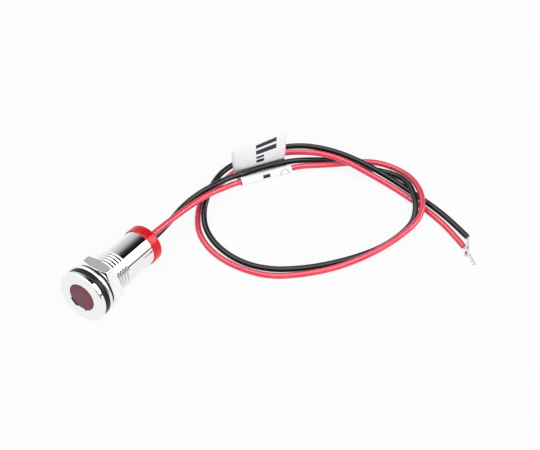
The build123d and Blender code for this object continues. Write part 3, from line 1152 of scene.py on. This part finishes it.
@dataclass(frozen=True)
class FlagLabel:
    """Strip of film folded round the red lead, its two ends stuck together as an upright flag."""

    lead: Lead
    start: tuple[float, float] = (3.465, 36.44)
    length: float = 11.05
    height: float = 6.9
    tall_end: float = 8.5
    reach: float = 3.25
    film: float = 0.09
    gap: float = 0.05
    wrap_radius: float = 0.85
    foot: float = 0.15
    bend: float = 0.4
    curve_start: float = 1.5
    slip: tuple[float, float] = (0.1, 0.35)
    skew: float = 0.42
    wrap_ends: float = 1.3
    wrap_blend: float = 0.4
    even_along: float = 3.4
    slant_along: float = 7.6
    columns: int = 44

    def section(self) -> np.ndarray:
        """Middle line of the film across the lead.

        It runs down the inner layer, along the floor, up a curve onto the wrap's circle and round
        it, and back along the floor and up the outer layer. Lines are even steps, bends are quarter
        circles, and the curve is a quadratic one that leaves the floor level and meets the wrap
        upright.

        Returns:
            Rows of (distance across from the lead, height), in millimetres.
        """
        wrap_height = self.foot + self.wrap_radius - self.gap
        inner_x, outer_x = self.reach - self.gap, self.reach + self.gap
        inner_z, outer_z = self.foot + self.gap, self.foot - self.gap
        quarter = np.linspace(0, np.pi / 2, 8)
        w = np.linspace(0, 1, 9)[1:, None]
        touch = np.array([self.wrap_radius, wrap_height])
        level = np.array([self.curve_start, inner_z])
        corner = np.array([self.wrap_radius + 0.05, inner_z])
        return np.concatenate([
            np.linspace((inner_x, self.height), (inner_x, inner_z + self.bend), 12),
            self._bend(inner_x, inner_z, self.bend, quarter),
            np.linspace((inner_x - self.bend, inner_z), level, 5)[1:],
            quadratic(level, corner, touch, w),
            self._circle(np.linspace(0, 1.5 * np.pi, 34)[1:], wrap_height),
            np.linspace((0.0, outer_z), (outer_x - self.bend, outer_z), 8)[1:],
            self._bend(outer_x, outer_z, self.bend, quarter)[::-1],
            np.linspace((outer_x, outer_z + self.bend), (outer_x, self.height - 0.06), 12)[1:],
        ])

    @staticmethod
    def _bend(x: float, z: float, radius: float, turn: np.ndarray) -> np.ndarray:
        """Quarter circle from the upright at x down to the floor line at z."""
        return np.stack([x - radius * (1 - np.cos(turn)), z + radius * (1 - np.sin(turn))], axis=-1)

    def _circle(self, turn: np.ndarray, height: float) -> np.ndarray:
        """Points of the wrap's circle round the lead."""
        return np.stack([self.wrap_radius * np.cos(turn), height + self.wrap_radius * np.sin(turn)], axis=-1)

    def build(self) -> bpy.types.Object:
        """Carries the section along the lead.

        The wrap follows the lead's own points, height and direction; the flag stands on the straight line
        between the wrap's two ends, and the film between them blends the two. The flag's two layers
        have slipped along the lead by different amounts, and its ends lean outwards by skew at the
        top. It was cut aslant: its height is even over the even stretch, and then grows to the tall
        end over the slant stretch.

        Returns:
            The sheet, thickened by a Solidify modifier.
        """
        line = self.lead.followed(self.lead.corners())
        step = lengths(line)
        begin = step[np.argmin(np.linalg.norm(line[:, :2] - np.array(self.start) * MM, axis=1))]
        places = np.linspace(0, self.length, self.columns)
        section = self.section()
        down = lengths(section)
        upright = np.clip((section[:, 0] - self.wrap_ends) / (self.reach - self.wrap_ends), 0, 1)
        first_half = down < down[-1] / 2
        rise = np.clip(section[:, 1] / self.height, 0, 1) * upright
        slip = np.where(first_half, self.slip[0], self.slip[1]) * upright
        lean = self.skew * rise[:, None] * (1 - 2 * places / self.length)
        along = places[None, :] - slip[:, None] - lean
        at = begin + along * MM
        middle = self._plan(line, at)
        tangent = unit(self._plan(line, at + 0.5 * MM) - middle)
        ends = self._plan(line, begin + np.array([0.0, self.length * MM]))
        straight = unit(ends[1] - ends[0])
        flag = upright[:, None, None]
        middle += flag * (ends[0] + along[..., None] * MM * straight - middle)
        tangent += flag * (straight - tangent)
        across = np.stack([-tangent[..., 1], tangent[..., 0]], axis=-1)
        flat = middle + across * (section[:, :1] * MM)[..., None]
        slant = np.clip((along - self.even_along) / self.slant_along, 0, 1)
        taller = (self.tall_end - self.height) * slant
        height = (section[:, 1:] + rise[:, None] * taller) * MM
        held = np.clip((self.wrap_ends - section[:, :1]) / self.wrap_blend, 0, 1)
        centre = (self.foot + self.wrap_radius - self.gap) * MM
        height += held * np.maximum(np.interp(at, step, line[:, 2]) - centre, 0)
        points = np.concatenate([flat, height[..., None]], axis=-1)
        rows, columns = points.shape[:2]
        piece = new_piece("label", points, grid_faces(rows, columns, False, False).tolist())
        self._map(piece, np.broadcast_to(places[None, :], (rows, columns)), down)
        thick = piece.modifiers.new("film", "SOLIDIFY")
        thick.thickness = self.film * MM
        thick.offset = 0.0
        return piece

    @staticmethod
    def _plan(line: np.ndarray, at: np.ndarray) -> np.ndarray:
        """The line's (x, y) at distances along it."""
        return np.stack([np.interp(at, lengths(line), line[:, k]) for k in (0, 1)], axis=-1)

    @staticmethod
    def _map(piece: bpy.types.Object, along: np.ndarray, down: np.ndarray) -> None:
        """Writes the sheet's own coordinates into its UV map.

        Args:
            piece: The sheet.
            along: Millimetres along the lead of every vertex.
            down: Millimetres along the film of every row.
        """
        mesh = piece.data
        layer = mesh.uv_layers.new(name="sheet")
        corner = np.empty(len(mesh.loops), int)
        mesh.loops.foreach_get("vertex_index", corner)
        flat = np.stack([along.ravel(), np.repeat(down, along.shape[1])], axis=-1)
        layer.data.foreach_set("uv", flat[corner].astype(np.float32).ravel())

    def dress(self, piece: bpy.types.Object) -> None:
        """Prints the film: two thick bars and two thin ones on the flag, a bar and a ring lower down."""
        film = PrintedFilm(
            "printed film",
            ink_bars=(
                (4.75, 9.0, 0.25, 1.15), (4.75, 9.0, 1.75, 2.8), (4.8, 6.4, 3.4, 3.9), (4.8, 6.4, 4.3, 5.0),
                (4.7, 6.2, 11.2, 11.9),
            ),
            ring=(9.4, 12.0, 1.0, 0.7),
        )
        finish_piece(piece, film.material(), "label_film", "flag_label")


# --- Parts inside the barrel ---


@dataclass(frozen=True)
class InnerParts:
    """The diode, its resistor and their joints, whose CAD shapes stay and get their finishes."""

    finishes: Mapping[str, Finish] = field(default_factory=lambda: {
        "led_body": Finish(
            "diode epoxy", (0.55, 0.03, 0.03), (0.66, 0.05, 0.04), (0.06, 0.14),
            settings=(("Coat Weight", 0.4),), grain_scale=900.0,
        ),
        "led_bush": Finish("white nylon", (0.70, 0.69, 0.65), (0.78, 0.77, 0.73), (0.40, 0.55)),
        "resistor_body": Finish(
            "resistor lacquer", (0.50, 0.36, 0.18), (0.58, 0.43, 0.23), (0.25, 0.40), grain_scale=2500.0,
        ),
        "potting": Finish(
            "cast resin", (0.010, 0.009, 0.008), (0.020, 0.018, 0.015), (0.10, 0.25), cloud_scale=600.0,
        ),
        **dict.fromkeys(
            ("anode_sleeve", "cathode_sleeve"),
            Finish("shrink sleeve", (0.012, 0.012, 0.012), (0.024, 0.024, 0.024), (0.38, 0.55)),
        ),
        **dict.fromkeys(
            ("solder_anode", "solder_red", "solder_black"),
            Finish("dull solder", (0.46,) * 3, (0.62, 0.62, 0.61), (0.28, 0.48), 1.0, cloud_scale=1800.0),
        ),
        **dict.fromkeys(
            ("anode_leg", "cathode_leg", "resistor_lead_front", "resistor_lead_rear"),
            Finish(
                "tinned leg", (0.60, 0.59, 0.57), (0.72, 0.71, 0.69), (0.20, 0.38), 1.0, cloud_scale=1500.0,
            ),
        ),
    })

    def dress(self) -> None:
        """Assigns each node its finish; nodes of one finish share one material."""
        made: dict[str, bpy.types.Material] = {}
        for name, finish in self.finishes.items():
            if finish.name not in made:
                made[finish.name] = finish.material()
            node = frame["nodes"][name]
            node.data.materials.clear()
            node.data.materials.append(made[finish.name])
            log.info("%s: CAD shape, %s", name, finish.name)


# --- Studio ---


@dataclass(frozen=True)
class Studio:
    """White floor, a light tent with a dark slot overhead, soft lamps and the camera."""

    target: Point = (14.99, 30.48, 0.0)
    distance: float = 300.0
    elevation: float = 45.89
    heading: float = -34.92
    focal: float = 99.34
    floor_half: float = 900.0
    ambient: float = 0.55
    box_glow: float = 5.0
    ceiling_glow: float = 3.6
    unlit: Colour = (0.012, 0.012, 0.013)
    greys_around: tuple[tuple[float, float], ...] = (
        (0.00, 0.90), (0.22, 0.88), (0.28, 0.76), (0.34, 0.64), (0.40, 0.46),
        (0.455, 0.12), (0.50, 0.015), (0.566, 0.012), (0.572, 1.0), (1.00, 1.0),
    )
    front_middle: Point = (0.55, -0.78, 0.30)
    lamps: tuple[tuple[str, Point, float, float], ...] = (
        ("key", (260.0, 60.0, 420.0), 420.0, 0.75),
        ("fill", (-320.0, -80.0, 300.0), 380.0, 0.4),
        ("front", (330.0, -330.0, 160.0), 300.0, 0.6),
        ("side", (430.0, -150.0, 110.0), 260.0, 0.45),
    )

    def view_axis(self) -> np.ndarray:
        """Direction of view: level towards the heading from +Y, and down by the elevation.

        Returns:
            Unit vector.
        """
        down, turn = math.radians(self.elevation), math.radians(self.heading)
        return np.array([
            math.sin(turn) * math.cos(down), math.cos(turn) * math.cos(down), -math.sin(down),
        ])

    def place_camera(self) -> None:
        """Puts the camera on the view axis through the target, level."""
        forward = Vector(self.view_axis())
        right = forward.cross(Vector((0, 0, 1))).normalized()
        up = right.cross(forward)
        data = bpy.data.cameras.new("camera")
        data.sensor_width = 36.0
        data.lens = self.focal
        data.clip_start, data.clip_end = 0.01, 10.0
        camera = new_object("camera", data)
        place = Matrix((right, up, -forward)).transposed().to_4x4()
        place.translation = Vector(self.target) * MM - forward * self.distance * MM
        camera.matrix_world = place
        bpy.context.scene.camera = camera

    def lay_floor(self) -> None:
        """Lays the floor, which looks white straight and in reflections but keeps soft shadows."""
        edge = np.array([-1.0, 1.0]) * self.floor_half * MM
        x, y = np.meshgrid(edge, edge, indexing="ij")
        points = np.stack([x, y, np.zeros_like(x)], axis=-1)
        floor = new_piece("floor", points, grid_faces(2, 2, False, False).tolist())
        material, graph = new_material("white table")
        seen = graph.ray("Camera")
        mirrored = graph.ray("Glossy")
        paint = graph.add(
            "ShaderNodeBsdfDiffuse", {}, {"Color": (0.86, 0.86, 0.87, 1.0), "Roughness": 0.4},
        )
        white = graph.add("ShaderNodeEmission", {}, {"Color": (1.0, 1.0, 1.0, 1.0), "Strength": 1.0})
        shown = 0.90 * seen + 0.80 * mirrored
        graph.surface(graph.add("ShaderNodeMixShader", {}, {0: shown, 1: paint, 2: white}))
        floor.data.materials.append(material)

    def hang_tent(self) -> None:
        """Gives the world plain soft light, white to the camera, and a tent for polished metal.

        Polished metal sees the tent by direction. Round the +Y axis it is white to the right, ends
        sharply a third of the way up, is black overhead and fades back to white on the left. Dark
        patches are the unlit room in front and behind, and a thin dark slot is the gap under the
        right panel. A bright box stands at the top of the right panel towards the rear, and a second
        one is the ceiling over the front.
        """
        world = bpy.data.worlds.new("tent")
        world.use_nodes = True
        graph = Graph(world.node_tree)
        direction = graph.add("ShaderNodeTexCoord", output="Generated")
        x, y, z = (graph.dot(direction, axis) for axis in np.eye(3))
        turn = x.math("ARCTAN2", x, z) / math.pi * 0.5 + 0.5
        around_axis = graph.add(
            "ShaderNodeValToRGB",
            {"stops": [(place, (grey,) * 3) for place, grey in self.greys_around]},
            {"Fac": turn},
        )
        room = graph.dot(direction, unit(np.array(self.front_middle))).rise(0.42, 0.72)
        slot = z.within(0.05, 0.145, 0.006) * x.rise(0.3, 0.6)
        behind = y.rise(0.76, 0.88) * z.rise(0.75, 0.45)
        overhead = graph.mix(y.rise(0.42, 0.62), (1.05, 1.05, 1.05), around_axis)
        dark = room.either(behind).either(slot)
        tent = graph.mix(dark, overhead, self.unlit)
        box = turn.within(0.574, 0.69, 0.004) * y.within(0.40, 0.86, 0.04)
        tent = graph.mix(box, tent, (self.box_glow,) * 3)
        ceiling = y.within(-0.66, 0.34, 0.08) * z.rise(0.60, 0.70)
        tent = graph.mix(ceiling, tent, (self.ceiling_glow,) * 3)
        seen = graph.ray("Camera")
        mirrored = graph.ray("Glossy")
        plain = graph.mix(seen, (self.ambient,) * 3, (1.0, 1.0, 1.0))
        sky = graph.add("ShaderNodeBackground", {}, {"Color": graph.mix(mirrored, plain, tent)})
        graph.surface(sky)
        bpy.context.scene.world = world

    def add_lamp(self, name: str, place: Point, size: float, power: float) -> None:
        """Adds a soft square lamp that polished metal doesn't show.

        Args:
            name: Its name.
            place: Where it stands, in millimetres.
            size: Its side in millimetres.
            power: Its power in watts.
        """
        data = bpy.data.lights.new(name, "AREA")
        data.energy = power
        data.size = size * MM
        lamp = new_object(name, data)
        lamp.location = Vector(place) * MM
        aim = Vector(self.target) * MM - lamp.location
        lamp.rotation_euler = aim.to_track_quat("-Z", "Y").to_euler()
        lamp.visible_glossy = False

    def build(self) -> None:
        """Makes the camera, the floor, the tent and the lamps."""
        bpy.context.scene.view_settings.view_transform = "Standard"
        self.place_camera()
        self.lay_floor()
        self.hang_tent()
        for lamp in self.lamps:
            self.add_lamp(*lamp)


# --- Everything together ---


def build_leads(axis: LampAxis) -> None:
    """Args:
        axis: The lamp's axis, on which the leads come out.
    """
    red = Lead(
        axis, "red", 0.7, RED_ROUTE,
        strands=((51.2, 46.5, 0.8), (52.6, 45.6, 0.5), (54.08, 44.35, 0.27)), length=0.2129, fan=0.32,
    )
    black = Lead(
        axis, "black", -0.7, BLACK_ROUTE,
        strands=((50.4, 48.6, 0.42), (51.1, 47.1, 0.25), (51.6, 45.5, 0.25)), length=0.2095, fan=0.38,
    )
    label = FlagLabel(red)
    sheet = label.build()
    label.dress(sheet)
    for lead in (red, black):
        piece, bundle = lead.build(), lead.build_strands()
        lead.dress(piece, bundle)
        tuple(float(c) for c in lead.on_axis(EndCap.end))
        lead.diameter * MM


def main() -> None:
    """Builds the studio, the leads and the lamp in order."""
    logging.basicConfig(level=logging.INFO, format="%(name)s %(message)s")
    Studio().build()
    axis = LampAxis.from_record(BezelBody.flange_thick)
    build_leads(axis)
    for sub_assembly in (BezelBody(axis), Lens(axis), *clamp_rings(axis), HexNut(axis), EndCap(axis)):
        sub_assembly.dress(sub_assembly.build())
    InnerParts().dress()


if __name__ == "__main__":
    main()
